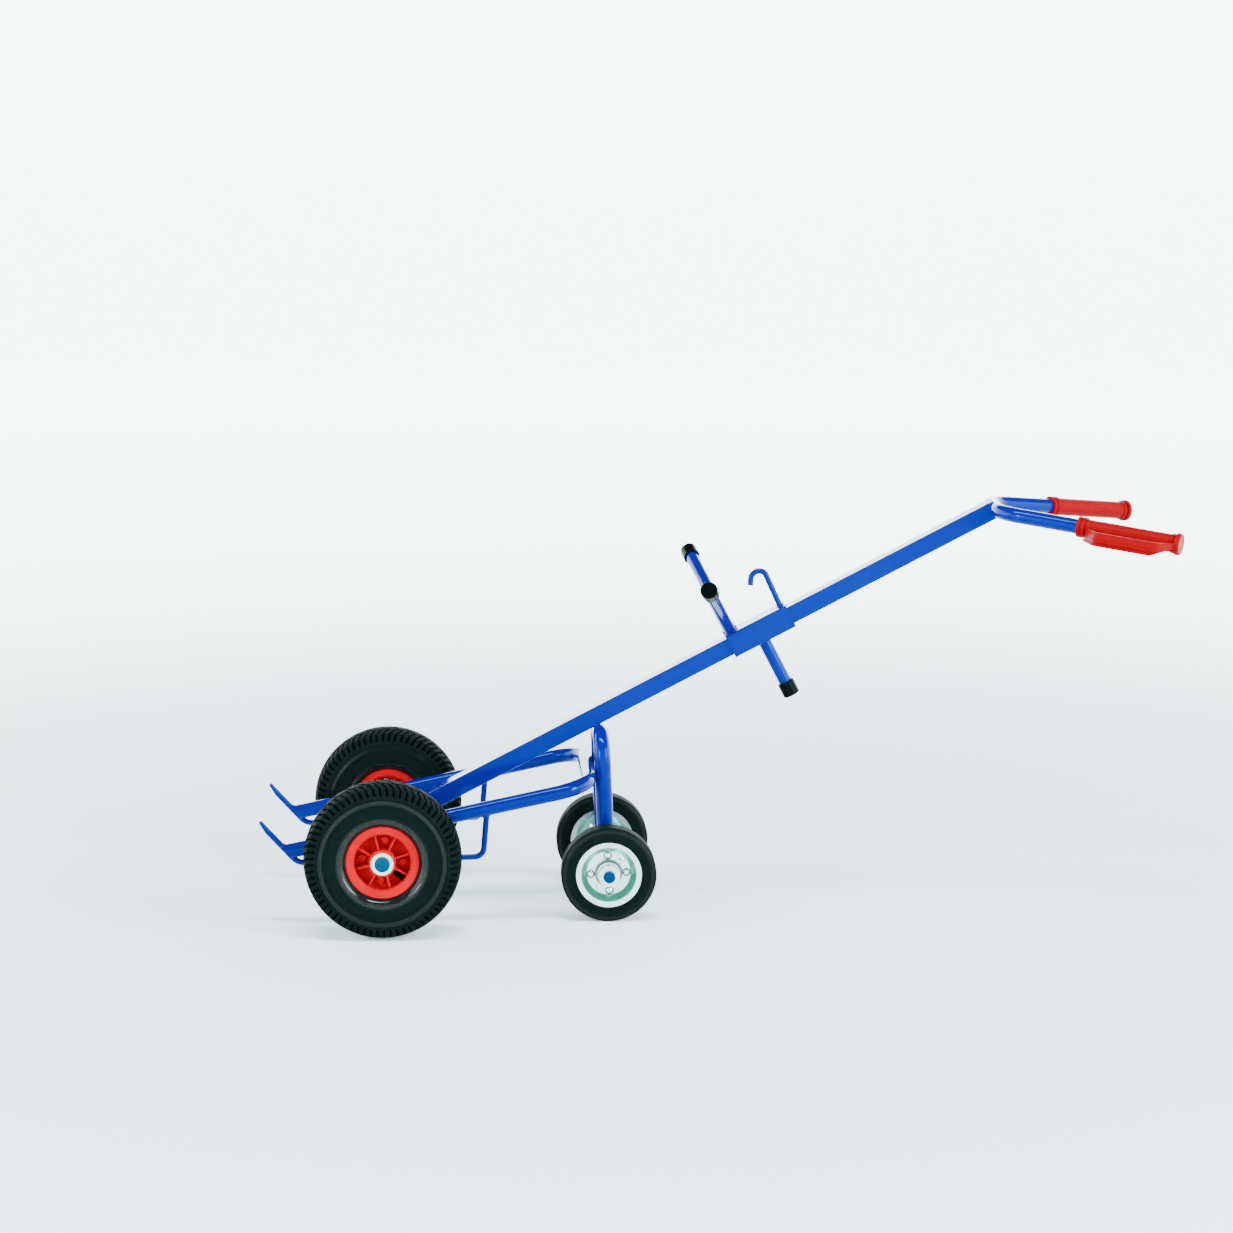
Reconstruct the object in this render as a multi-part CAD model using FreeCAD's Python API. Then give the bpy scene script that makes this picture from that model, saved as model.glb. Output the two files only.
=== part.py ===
import FreeCAD, Part
import math
import os

# Drum trolley on four wheels. Sizes are millimetres and degrees.
# Working frame: X runs back from the main axle to the handles, Y to the operator's right, Z up
# from the floor. Every piece is shifted at the end so that the origin is under the middle.

V = FreeCAD.Vector
X_AXIS = V(1, 0, 0)
Y_AXIS = V(0, 1, 0)
Z_AXIS = V(0, 0, 1)
ORIGIN = V(0, 0, 0)

# Stance
WHEELBASE = 376.0
MAIN_WHEEL_OFFSET = 230.0
SUPPORT_WHEEL_OFFSET = 130.0

# Pneumatic main wheel
MAIN_TYRE_DIAMETER = 260.0
MAIN_TYRE_WIDTH = 85.0
TREAD_THICKNESS = 11.0
SIDEWALL_THICKNESS = 10.5
TREAD_WIDTH = 69.0
CROWN_DROP = 5.4
RIDGE_DROP = 27.0
RIDGE_INSET = 1.5
RIDGE_HEIGHT = 1.4
RIDGE_WIDTH = 3.0
BELLY_RISE = 18.0
SHOULDER_LUGS = 68
LUG_GAP = 4.0
LUG_SKEW = 24.0
LUG_DEPTH = 5.5
LUG_SIDE_DEPTH = 18.0
CENTRE_BLOCKS = 34
CENTRE_SKEW = 38.0
GROOVE_WIDTH = 4.0
GROOVE_OFFSET = 11.5
BEAD_GAP = 28.0
TUBE_FOOT_RISE = 4.0
TUBE_WALL_RUBBER = 2.5
TUBE_CLEARANCE = 0.2

# Two-part plastic rim
RIM_SEAT_DIAMETER = 102.0
RIM_WALL = 5.0
RIM_BEAD_WIDTH = 53.0
FLANGE_DIAMETER = 120.0
FLANGE_THICKNESS = 3.5
FLANGE_CLEARANCE = 0.3
RIM_WEB = 4.0
RIM_HUB_DIAMETER = 44.0
MAIN_HUB_LENGTH = 75.0
RIB_COUNT = 8
RIB_THICKNESS = 3.0
RIB_PHASE = 29.0
RIB_TOP_AT_HUB = 24.0
RIB_TOP_AT_WALL = 19.0
SCREW_COUNT = 4
SCREW_CIRCLE = 68.0
SCREW_DIAMETER = 6.0
SCREW_HEAD_DIAMETER = 11.0
SCREW_HEAD_HEIGHT = 4.0
BOSS_DIAMETER = 12.0
BOSS_HEIGHT = 6.0
BOSS_FLOOR = 2.0
VALVE_ANGLE = 224.0
VALVE_OFFSET = 9.0
VALVE_DIAMETER = 8.0
VALVE_HOLE_CLEARANCE = 0.3
VALVE_CAP_DIAMETER = 9.0
VALVE_CAP_LENGTH = 9.0
VALVE_TIP_RADIUS = 27.0

# Solid-tyre support wheel
SUPPORT_TYRE_DIAMETER = 160.0
SUPPORT_TYRE_WIDTH = 40.0
SUPPORT_SHOULDER = 6.0
DISC_THICKNESS = 2.0
DISC_LIP_DIAMETER = 110.0
DISC_LIP_OFFSET = 16.0
DISC_BREAK_DIAMETER = 94.0
DISC_BREAK_OFFSET = 14.4
DISC_FLAT_DIAMETER = 75.6
DISC_COLLAR_HEIGHT = 9.0
DISC_HOLE_DIAMETER = 5.0
DISC_HOLE_ANGLES = (130.0, 313.0)
SUPPORT_HUB_DIAMETER = 36.0
SUPPORT_HUB_LENGTH = 58.0
RIVET_COUNT = 4
RIVET_CIRCLE = 60.0
RIVET_DIAMETER = 6.0
RIVET_HEAD_DIAMETER = 12.0
RIVET_HEAD_HEIGHT = 3.0
RIVET_PHASE = -3.0

# Axles, roller bearings and their fixings
MAIN_AXLE_DIAMETER = 20.0
SUPPORT_AXLE_DIAMETER = 15.0
ROLLER_DIAMETER = 5.0
ROLLER_CLEARANCE = 0.05
ROLLER_COUNT = 9
ROLLER_LENGTH = 40.0
CAGE_RIM = 4.0
CAGE_THICKNESS = 3.0
SIDE_PLAY = 0.3
WASHER_BORE_CLEARANCE = 0.2
MAIN_WASHER_DIAMETER = 37.0
MAIN_WASHER_THICKNESS = 2.5
SUPPORT_WASHER_DIAMETER = 27.0
SUPPORT_WASHER_THICKNESS = 2.0
MAIN_CAP_DIAMETER = 25.0
MAIN_CAP_LENGTH = 6.0
SUPPORT_CAP_DIAMETER = 20.0
SUPPORT_CAP_LENGTH = 6.5
CAP_FLOOR = 2.5
CAP_ROUNDING = 2.0

# Welded frame
TUBE_DIAMETER = 25.0
TUBE_WALL = 2.0
AXLE_TUBE_DIAMETER = 33.0
AXLE_TUBE_CLEARANCE = 0.05
WELD_BITE = 0.8
SPINE_WIDTH = 40.0
SPINE_HEIGHT = 30.0
SPINE_WALL = 2.5
SPINE_CORNER = 2.5
SPINE_SLOPE = 27.64
SPINE_ABOVE_AXLE = 7.4
SPINE_FRONT_OVERHANG = 14.0
HANDLE_REACH = 1173.0
STRUT_SLOPE = 12.15
STRUT_OFFSET = 150.0
STRUT_FRONT = 175.0
STRUT_BEND = 60.0
LEG_DIAMETER = 28.0
LEG_OFFSET = 70.0
LEG_LEAN = 2.6
LEG_BEND = 40.0

# Toe rods
TOE_DIAMETER = 10.0
TOE_SLOPE = 1.56
TOE_HEEL = 144.0
TOE_HEEL_BEND = 25.0
TOE_ANGLE = 49.0
PRONG_LENGTH = 94.0
PRONG_TAPER = 23.0
PRONG_TIP = 4.7
RISER_SETBACK = 165.0
RISER_ANGLE = 84.0
RISER_BEND = 16.0

# Handle bow and grips
HANDLE_DROOP = 7.0
HANDLE_CORNER = 71.0
HANDLE_SPLAY = 29.0
HANDLE_BEND = 60.0
HANDLE_LEG = 309.0
GRIP_LENGTH = 177.0
GRIP_DIAMETER = 29.8
GRIP_END = 5.0
GRIP_COLLAR_DIAMETER = 34.6
GRIP_COLLAR_LENGTH = 14.0
GRIP_COLLAR_GROOVE = 2.5
GRIP_FLANGE_DIAMETER = 36.8
GRIP_FLANGE_LENGTH = 8.0
GRIP_BEAD_DIAMETER = 32.6
GRIP_BEAD_LENGTH = 4.0
GUARD_REACH = 57.0
GUARD_BEND = 14.0
GUARD_ROOT = 18.0
GUARD_RUN_START = 48.0
GUARD_RUN_END = 150.0
GUARD_THICKNESS = 4.0
GUARD_TOP = 2.0
GUARD_DEPTH = 20.5
GUARD_TAPER = 34.0
GUARD_END_DEPTH = 4.0
GUARD_LIP = 2.0
GUARD_LIP_HEIGHT = 3.5
GUARD_RIDGE = 1.2

# Hook carriage on the spine
SLEEVE_REACH = 723.5
SLEEVE_LENGTH = 115.0
SLEEVE_CLEARANCE = 0.8
SLEEVE_WALL = 4.5
SLEEVE_CORNER = 3.0
ARM_DIAMETER = 22.0
ARM_WALL = 2.0
ARM_RISE = 26.4
ARM_HALF_SPAN = 236.0
ARM_ROOT_LIFT = 2.4
ARM_SETBACK = 12.0
CAP_WALL = 3.5
END_CAP_LENGTH = 26.0
END_CAP_FLOOR = 3.0
LEVER_LENGTH = 103.0
LEVER_SETBACK = 56.0
HOOK_DIAMETER = 10.0
HOOK_SETBACK = 107.0
HOOK_LEAN = 2.8
HOOK_HEIGHT = 75.0
HOOK_BEND = 13.0
HOOK_REACH = 25.0
HOOK_DROP_ANGLE = 14.0
HOOK_TIP = 16.0
HOOK_TIP_ANGLE = 60.0

MAIN_AXLE = V(0, 0, MAIN_TYRE_DIAMETER / 2)
SUPPORT_AXLE = V(WHEELBASE, 0, SUPPORT_TYRE_DIAMETER / 2)
SIDES = {"left": -1, "right": 1}


def tilted(origin, upward_slope):
    """Placement at origin whose X axis climbs towards the handles by the slope."""
    return FreeCAD.Placement(origin, FreeCAD.Rotation(Y_AXIS, -upward_slope))


def moved(shape, placement):
    """Copy of the shape carried into the placement."""
    copy = shape.copy()
    copy.Placement = placement.multiply(copy.Placement)
    return copy


def mirrored(shape, side):
    """The right-hand shape itself, or its mirror image for the left-hand side."""
    return shape if side > 0 else shape.mirror(ORIGIN, Y_AXIS)


def filled(edges):
    """Face inside a closed run of edges."""
    return Part.Face(Part.Wire(Part.sortEdges(edges)[0]))


def polygon(points):
    """Face inside straight runs through the points."""
    return Part.Face(Part.makePolygon(list(points) + [points[0]]))


def turned(outline):
    """Ring turned about the Y axis from (radius, offset) corners."""
    return polygon([V(radius, offset, 0) for radius, offset in outline]).revolve(ORIGIN, Y_AXIS, 360)


def disc(radius, start, end):
    """Solid disc on the Y axis between two offsets."""
    return Part.makeCylinder(radius, end - start, V(0, start, 0), Y_AXIS)


def ring(outer, inner, start, end):
    """Flat ring on the Y axis between two offsets."""
    return turned([(inner, start), (outer, start), (outer, end), (inner, end)])


def rounded_path(points, radii):
    """Wire of straight runs through the points, joined by tangent arcs of the given radii."""
    edges = []
    start = points[0]
    for before, corner, after, radius in zip(points, points[1:], points[2:], radii):
        back = (before - corner).normalize()
        ahead = (after - corner).normalize()
        half_turn = (math.pi - back.getAngle(ahead)) / 2
        reach = radius * math.tan(half_turn)
        inward = (back + ahead).normalize()
        first = corner + back * reach
        middle = corner + inward * (radius / math.cos(half_turn) - radius)
        last = corner + ahead * reach
        edges.append(Part.LineSegment(start, first).toShape())
        edges.append(Part.Arc(first, middle, last).toShape())
        start = last
    edges.append(Part.LineSegment(start, points[-1]).toShape())
    return Part.Wire(edges)


def rod(points, radii, diameter):
    """Round bar bent along the path."""
    section = Part.Circle(points[0], points[1] - points[0], diameter / 2).toShape()
    return rounded_path(points, radii).makePipeShell([Part.Wire(section)], True, False)


def straight_rod(start, end, diameter):
    """Round bar between two points."""
    return Part.makeCylinder(diameter / 2, start.distanceToPoint(end), start, end - start)


def box_bar(width, height, start, end, corner):
    """Bar along X with a rounded rectangular section."""
    block = Part.makeBox(end - start, width, height, V(start, -width / 2, -height / 2))
    long_edges = [edge for edge in block.Edges if abs(edge.tangentAt(0).x) > 0.5]
    return block.makeFillet(corner, long_edges)


def largest(shape):
    """The main solid of a trimmed shape, without its offcuts."""
    return max(shape.Solids, key=lambda solid: solid.Volume)


def around(shape, count, phase=0.0):
    """Copies of a shape spaced evenly round the Y axis, counted from the X axis."""
    copies = []
    for index in range(count):
        copy = shape.copy()
        copy.rotate(ORIGIN, Y_AXIS, -phase - 360.0 * index / count)
        copies.append(copy)
    return copies


def polar(radius, angle, offset):
    """Point round the Y axis at an angle counted from X towards Z."""
    return V(radius * math.cos(math.radians(angle)), offset, radius * math.sin(math.radians(angle)))


def oval_ring(foot, half_width, crown):
    """Solid ring of the oval section that an inner tube fills."""
    middle = V((foot + crown) / 2, 0, 0)
    half_axes = [V((crown - foot) / 2, 0, 0), V(0, half_width, 0)]
    longer, shorter = sorted(half_axes, key=lambda axis: axis.Length, reverse=True)
    outline = Part.Ellipse(middle + longer, middle + shorter, middle)
    return filled([outline.toShape()]).revolve(ORIGIN, Y_AXIS, 360)


TYRE_RADIUS = MAIN_TYRE_DIAMETER / 2
RIM_SEAT = RIM_SEAT_DIAMETER / 2
CAVITY_FOOT = RIM_SEAT + TUBE_FOOT_RISE
CAVITY_CROWN = TYRE_RADIUS - TREAD_THICKNESS
CAVITY_HALF_WIDTH = MAIN_TYRE_WIDTH / 2 - SIDEWALL_THICKNESS
MAIN_HUB_BORE = MAIN_AXLE_DIAMETER + 2 * ROLLER_DIAMETER
SUPPORT_HUB_BORE = SUPPORT_AXLE_DIAMETER + 2 * ROLLER_DIAMETER


def bulge(foot, crest):
    """Arc from a foot to a crest, where it runs along the radius."""
    across = abs(crest.y - foot.y)
    along = abs(crest.x - foot.x)
    radius = (along ** 2 + across ** 2) / (2 * across)
    half_turn = math.asin(min(1.0, along / radius)) / 2
    inward = math.copysign(radius * (1 - math.cos(half_turn)), foot.y - crest.y)
    middle = crest + V(math.copysign(radius * math.sin(half_turn), foot.x - crest.x), inward, 0)
    return Part.Arc(foot, middle, crest).toShape()


def tyre_blank():
    """Tyre before the tread is cut: bead, bulged sidewall with its ridge, and crowned tread."""
    half = MAIN_TYRE_WIDTH / 2
    bead = RIM_BEAD_WIDTH / 2
    lip = FLANGE_DIAMETER / 2 + FLANGE_CLEARANCE
    lip_side = bead + FLANGE_THICKNESS + FLANGE_CLEARANCE
    ridge = TYRE_RADIUS - RIDGE_DROP
    ridge_side = half - RIDGE_INSET
    tread_edge = TYRE_RADIUS - CROWN_DROP
    edges = []
    for side in SIDES.values():
        corners = [(RIM_SEAT, 0), (RIM_SEAT, bead), (lip, bead), (lip, lip_side)]
        run = [V(radius, side * offset, 0) for radius, offset in corners]
        edges += [Part.LineSegment(a, b).toShape() for a, b in zip(run, run[1:])]
        belly = V(lip + BELLY_RISE, side * half, 0)
        edges.append(bulge(run[-1], belly))
        edges.append(bulge(V(ridge, side * ridge_side, 0), belly))
        corners = [(ridge, ridge_side), (ridge, ridge_side + RIDGE_HEIGHT),
                   (ridge + RIDGE_WIDTH, ridge_side + RIDGE_HEIGHT),
                   (ridge + RIDGE_WIDTH, ridge_side - RIDGE_HEIGHT), (tread_edge, TREAD_WIDTH / 2)]
        run = [V(radius, side * offset, 0) for radius, offset in corners]
        edges += [Part.LineSegment(a, b).toShape() for a, b in zip(run, run[1:])]
    crown = [V(tread_edge, -TREAD_WIDTH / 2, 0), V(TYRE_RADIUS, 0, 0), V(tread_edge, TREAD_WIDTH / 2, 0)]
    edges.append(Part.Arc(*crown).toShape())
    return filled(edges).revolve(ORIGIN, Y_AXIS, 360)


def tread_cutters():
    """Slots that part the shoulder lugs and the blocks of the middle row."""
    half = MAIN_TYRE_WIDTH / 2
    above = TYRE_RADIUS + LUG_DEPTH
    floor = TYRE_RADIUS - LUG_DEPTH
    side_floor = TYRE_RADIUS - LUG_SIDE_DEPTH
    shoulder = TREAD_WIDTH / 2 - LUG_DEPTH
    slots = []
    for side in SIDES.values():
        outline = [(GROOVE_OFFSET, floor), (shoulder, floor), (shoulder, side_floor),
                   (half, side_floor), (half, above), (GROOVE_OFFSET, above)]
        face = polygon([V(radius, side * offset, -LUG_GAP / 2) for offset, radius in outline])
        slot = face.extrude(V(0, 0, LUG_GAP))
        slot.rotate(V(0, side * shoulder, 0), X_AXIS, side * LUG_SKEW)
        phase = 90.0 + 180.0 / SHOULDER_LUGS
        slots += around(slot, SHOULDER_LUGS, phase)
    middle = Part.makeBox(above - floor, 2 * GROOVE_OFFSET, LUG_GAP, V(floor, -GROOVE_OFFSET, -LUG_GAP / 2))
    middle.rotate(ORIGIN, X_AXIS, CENTRE_SKEW)
    slots += around(middle, CENTRE_BLOCKS, 90.0 + 180.0 / CENTRE_BLOCKS)
    return slots


def main_tyre():
    """Block-tread tyre, hollow for its inner tube and open between the beads."""
    above = TYRE_RADIUS + LUG_DEPTH
    grooves = [ring(above, TYRE_RADIUS - LUG_DEPTH, side * GROOVE_OFFSET - GROOVE_WIDTH / 2,
                    side * GROOVE_OFFSET + GROOVE_WIDTH / 2) for side in SIDES.values()]
    mouth = disc((CAVITY_FOOT + CAVITY_CROWN) / 2, -BEAD_GAP / 2, BEAD_GAP / 2)
    cavity = oval_ring(CAVITY_FOOT, CAVITY_HALF_WIDTH, CAVITY_CROWN).fuse(mouth)
    return tyre_blank().cut(cavity).cut(grooves).cut(tread_cutters())


def tube_ring(inset):
    """Outside of the inner tube as a solid ring, smaller all round by the inset."""
    gap = TUBE_CLEARANCE + inset
    return oval_ring(CAVITY_FOOT + gap, CAVITY_HALF_WIDTH - gap, CAVITY_CROWN - gap)


def inner_tube():
    """Air tube that fills the tyre."""
    return tube_ring(0).cut(tube_ring(TUBE_WALL_RUBBER))


def valve_bar(diameter, start, end):
    """Bar on the valve's axis between two radii."""
    return straight_rod(polar(start, VALVE_ANGLE, VALVE_OFFSET), polar(end, VALVE_ANGLE, VALVE_OFFSET), diameter)


def valve():
    """Valve stem, footed on the inner tube, through the rim wall, with its screwed cap."""
    cap_end = VALVE_TIP_RADIUS + VALVE_CAP_LENGTH
    stem = valve_bar(VALVE_DIAMETER, (CAVITY_FOOT + CAVITY_CROWN) / 2, cap_end).cut(tube_ring(0))
    return stem.fuse(valve_bar(VALVE_CAP_DIAMETER, cap_end, VALVE_TIP_RADIUS)).removeSplitter()


def rim_shell():
    """Half rim without ribs: hub, web, bead seat and flange, on the outer side of the mid-plane."""
    bore = MAIN_HUB_BORE / 2
    hub = RIM_HUB_DIAMETER / 2
    bead = RIM_BEAD_WIDTH / 2
    rim_face = bead + FLANGE_THICKNESS
    wall = RIM_SEAT - RIM_WALL
    lip = FLANGE_DIAMETER / 2
    return turned([(bore, 0), (RIM_SEAT, 0), (RIM_SEAT, bead), (lip, bead), (lip, rim_face - FLANGE_CLEARANCE),
                   (lip - FLANGE_CLEARANCE, rim_face), (wall + FLANGE_THICKNESS, rim_face), (wall, bead),
                   (wall, RIM_WEB), (hub, RIM_WEB), (hub, MAIN_HUB_LENGTH / 2), (bore, MAIN_HUB_LENGTH / 2)])


def rim_half():
    """Ribbed half rim."""
    hub = (RIM_HUB_DIAMETER + MAIN_HUB_BORE) / 4
    wall = RIM_SEAT - RIM_WALL / 2
    rib = polygon([V(hub, RIM_WEB / 2, -RIB_THICKNESS / 2), V(wall, RIM_WEB / 2, -RIB_THICKNESS / 2),
                   V(wall, RIB_TOP_AT_WALL, -RIB_THICKNESS / 2), V(hub, RIB_TOP_AT_HUB, -RIB_THICKNESS / 2)])
    ribs = around(rib.extrude(V(0, 0, RIB_THICKNESS)), RIB_COUNT, RIB_PHASE)
    return rim_shell().fuse(ribs).removeSplitter()


def screw_bars(diameter, start, end):
    """One bar on each screw axis, midway between two ribs and clear of the valve."""
    bar = disc(diameter / 2, start, end)
    bar.translate(V(SCREW_CIRCLE / 2, 0, 0))
    return around(bar, SCREW_COUNT, RIB_PHASE + 1.5 * 360.0 / RIB_COUNT)


def rim_outer():
    """Outer half rim with blind screw bosses and the valve hole."""
    boss_top = RIM_WEB + BOSS_HEIGHT
    shell = rim_half().fuse(screw_bars(BOSS_DIAMETER, RIM_WEB / 2, boss_top)).removeSplitter()
    hole = valve_bar(VALVE_DIAMETER + 2 * VALVE_HOLE_CLEARANCE, RIM_SEAT + RIM_WALL, RIM_SEAT - 2 * RIM_WALL)
    return shell.cut(screw_bars(SCREW_DIAMETER, 0, boss_top - BOSS_FLOOR)).cut(hole)


def rim_inner():
    """Inner half rim, pierced for the screws."""
    return rim_half().cut(screw_bars(SCREW_DIAMETER, 0, RIM_WEB)).mirror(ORIGIN, Y_AXIS)


def rim_screws():
    """Screws driven from the inner half into the bosses of the outer half."""
    end = RIM_WEB + BOSS_HEIGHT - BOSS_FLOOR
    heads = screw_bars(SCREW_HEAD_DIAMETER, -RIM_WEB - SCREW_HEAD_HEIGHT, -RIM_WEB)
    shanks = screw_bars(SCREW_DIAMETER, -RIM_WEB, end)
    return [head.fuse(shank).removeSplitter() for head, shank in zip(heads, shanks)]


def rollers(axle_diameter, clearance):
    """Bearing rollers round an axle; a negative clearance gives the pockets of their cage."""
    roller = disc(ROLLER_DIAMETER / 2 - clearance, -ROLLER_LENGTH / 2 + clearance, ROLLER_LENGTH / 2 - clearance)
    roller.translate(V((axle_diameter + ROLLER_DIAMETER) / 2, 0, 0))
    return around(roller, ROLLER_COUNT)


def bearing_cage(axle_diameter):
    """Ring that keeps the rollers apart."""
    middle = (axle_diameter + ROLLER_DIAMETER) / 2
    half = ROLLER_LENGTH / 2 + CAGE_RIM
    body = ring(middle + CAGE_THICKNESS / 2, middle - CAGE_THICKNESS / 2, -half, half)
    return body.cut(rollers(axle_diameter, -ROLLER_CLEARANCE))


def support_tyre():
    """Solid rubber tyre that fills the groove between the two pressed discs."""
    half = SUPPORT_TYRE_WIDTH / 2
    outer = SUPPORT_TYRE_DIAMETER / 2
    lip = DISC_LIP_DIAMETER / 2
    groove = [(DISC_FLAT_DIAMETER / 2, 0), (DISC_BREAK_DIAMETER / 2, DISC_BREAK_OFFSET),
              (lip, DISC_LIP_OFFSET), (lip + DISC_THICKNESS, half)]
    edges = []
    for side in SIDES.values():
        run = [V(radius, side * offset, 0) for radius, offset in groove]
        run.append(V(outer - SUPPORT_SHOULDER, side * half, 0))
        edges += [Part.LineSegment(a, b).toShape() for a, b in zip(run, run[1:])]
        inset = SUPPORT_SHOULDER * (1 - math.sqrt(0.5))
        round_middle = V(outer - inset, side * (half - inset), 0)
        edges.append(Part.Arc(run[-1], round_middle, V(outer, side * (half - SUPPORT_SHOULDER), 0)).toShape())
    tread_half = half - SUPPORT_SHOULDER
    edges.append(Part.LineSegment(V(outer, -tread_half, 0), V(outer, tread_half, 0)).toShape())
    return filled(edges).revolve(ORIGIN, Y_AXIS, 360)


def support_disc():
    """Pressed steel disc with a collar round the hub, on the outer side of the mid-plane."""
    hub = SUPPORT_HUB_DIAMETER / 2
    flat = DISC_FLAT_DIAMETER / 2
    rise = DISC_THICKNESS
    face = turned([(hub, 0), (flat, 0), (DISC_BREAK_DIAMETER / 2, DISC_BREAK_OFFSET),
                   (DISC_LIP_DIAMETER / 2, DISC_LIP_OFFSET), (DISC_LIP_DIAMETER / 2, DISC_LIP_OFFSET + rise),
                   (DISC_BREAK_DIAMETER / 2 - rise / 2, DISC_BREAK_OFFSET + rise), (flat - rise / 2, rise),
                   (hub + 2 * rise, rise), (hub + rise, 2 * rise), (hub + rise, DISC_COLLAR_HEIGHT),
                   (hub, DISC_COLLAR_HEIGHT)])
    holes = [straight_rod(polar(RIVET_CIRCLE / 2, angle, -rise), polar(RIVET_CIRCLE / 2, angle, 2 * rise),
                          DISC_HOLE_DIAMETER) for angle in DISC_HOLE_ANGLES]
    return face.cut(holes).cut(rivet_bars(RIVET_DIAMETER, -rise, 2 * rise))


def rivet_bars(diameter, start, end):
    """One bar on each rivet axis."""
    bar = disc(diameter / 2, start, end)
    bar.translate(V(RIVET_CIRCLE / 2, 0, 0))
    return around(bar, RIVET_COUNT, RIVET_PHASE)


def rivets():
    """Rivets with a domed head on each disc."""
    radius = RIVET_HEAD_DIAMETER / 2
    shank = RIVET_DIAMETER / 2
    ball = (radius ** 2 + RIVET_HEAD_HEIGHT ** 2) / (2 * RIVET_HEAD_HEIGHT)
    half_turn = math.asin(radius / ball) / 2
    edges = [Part.LineSegment(V(shank, -DISC_THICKNESS, 0), V(shank, DISC_THICKNESS, 0)).toShape()]
    tips = []
    for side in SIDES.values():
        foot = side * DISC_THICKNESS
        tip = V(0, foot + side * RIVET_HEAD_HEIGHT, 0)
        shoulder = tip + V(ball * math.sin(half_turn), -side * ball * (1 - math.cos(half_turn)), 0)
        edges.append(Part.LineSegment(V(shank, foot, 0), V(radius, foot, 0)).toShape())
        edges.append(Part.Arc(V(radius, foot, 0), shoulder, tip).toShape())
        tips.append(tip)
    edges.append(Part.LineSegment(*tips).toShape())
    rivet = filled(edges).revolve(ORIGIN, Y_AXIS, 360)
    rivet.translate(V(RIVET_CIRCLE / 2, 0, 0))
    return around(rivet, RIVET_COUNT, RIVET_PHASE)


def on_wheel(shapes, centre, offset, side):
    """Wheel pieces set at their axle with the outer face away from the middle."""
    turn = FreeCAD.Rotation(Z_AXIS, 0 if side > 0 else 180)
    place = FreeCAD.Placement(centre + V(0, side * offset, 0), turn)
    group = [moved(shape, place) for shape in shapes]
    return group[0] if len(group) == 1 else Part.makeCompound(group)


def both_ends(shape, centre):
    """One copy of a shape at each end of an axle."""
    ends = [mirrored(shape, side) for side in SIDES.values()]
    return Part.makeCompound([moved(end, FreeCAD.Placement(centre, FreeCAD.Rotation())) for end in ends])


def axle_fittings(centre, offset, hub_length, axle_diameter, washer_diameter, washer, cap_diameter, cap_length):
    """Axle, its washers and end caps, with the length of tube that fits between the wheels."""
    bore = axle_diameter / 2
    outer_face = offset + hub_length / 2 + SIDE_PLAY
    inner_face = offset - hub_length / 2 - SIDE_PLAY
    bore_edge = bore + WASHER_BORE_CLEARANCE
    washers = [ring(washer_diameter / 2, bore_edge, outer_face, outer_face + washer),
               ring(washer_diameter / 2, bore_edge, inner_face - washer, inner_face)]
    axle_end = outer_face + washer + cap_length - CAP_FLOOR
    cap_end = axle_end + CAP_FLOOR
    rim = cap_diameter / 2
    cap = turned([(bore, outer_face + washer), (rim, outer_face + washer), (rim, cap_end - CAP_ROUNDING),
                  (rim - CAP_ROUNDING, cap_end), (0, cap_end), (0, axle_end), (bore, axle_end)])
    axle = moved(disc(bore, -axle_end, axle_end), FreeCAD.Placement(centre, FreeCAD.Rotation()))
    pairs = [both_ends(washer_ring, centre).Solids for washer_ring in washers]
    return axle, Part.makeCompound(pairs[0] + pairs[1]), both_ends(cap, centre), inner_face - washer


def axle_sleeve(centre, half_length, axle_diameter):
    """Tube round an axle between the wheels, as the tube itself and as a solid bar."""
    place = FreeCAD.Placement(centre, FreeCAD.Rotation())
    bar = moved(disc(AXLE_TUBE_DIAMETER / 2, -half_length, half_length), place)
    bore = moved(disc(axle_diameter / 2 + AXLE_TUBE_CLEARANCE, -half_length, half_length), place)
    return bar.cut(bore), bar


SPINE_PLACE = tilted(tilted(MAIN_AXLE, SPINE_SLOPE).multVec(V(0, 0, SPINE_ABOVE_AXLE)), SPINE_SLOPE)
HANDLE_PLACE = tilted(SPINE_PLACE.multVec(V(HANDLE_REACH, 0, 0)), -HANDLE_DROOP)


def handle_points():
    """Corners of the handle bow in its own plane."""
    back = HANDLE_LEG * math.cos(math.radians(HANDLE_SPLAY))
    out = HANDLE_CORNER + HANDLE_LEG * math.sin(math.radians(HANDLE_SPLAY))
    return [V(back, -out, 0), V(0, -HANDLE_CORNER, 0), V(0, HANDLE_CORNER, 0), V(back, out, 0)]


def bent_tube(points, bend, place, diameter=TUBE_DIAMETER):
    """Bow of round tube with two like bends, as a solid bar and as its bore."""
    radii = [bend] * (len(points) - 2)
    return [moved(rod(points, radii, size), place) for size in (diameter, diameter - 2 * TUBE_WALL)]


def spine_bar(inset):
    """Rectangular spine bar, smaller all round by the inset, in its own frame."""
    corner = SPINE_CORNER if inset == 0 else SPINE_CORNER / 2
    return box_bar(SPINE_WIDTH - 2 * inset, SPINE_HEIGHT - 2 * inset, -SPINE_FRONT_OVERHANG, HANDLE_REACH, corner)


def spine(axle_bar, handle_bar):
    """Spine tube, notched over the axle tube and coped to the handle bow."""
    tube = moved(spine_bar(0).cut(spine_bar(SPINE_WALL)), SPINE_PLACE)
    return largest(tube.cut([axle_bar, handle_bar]))


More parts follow.
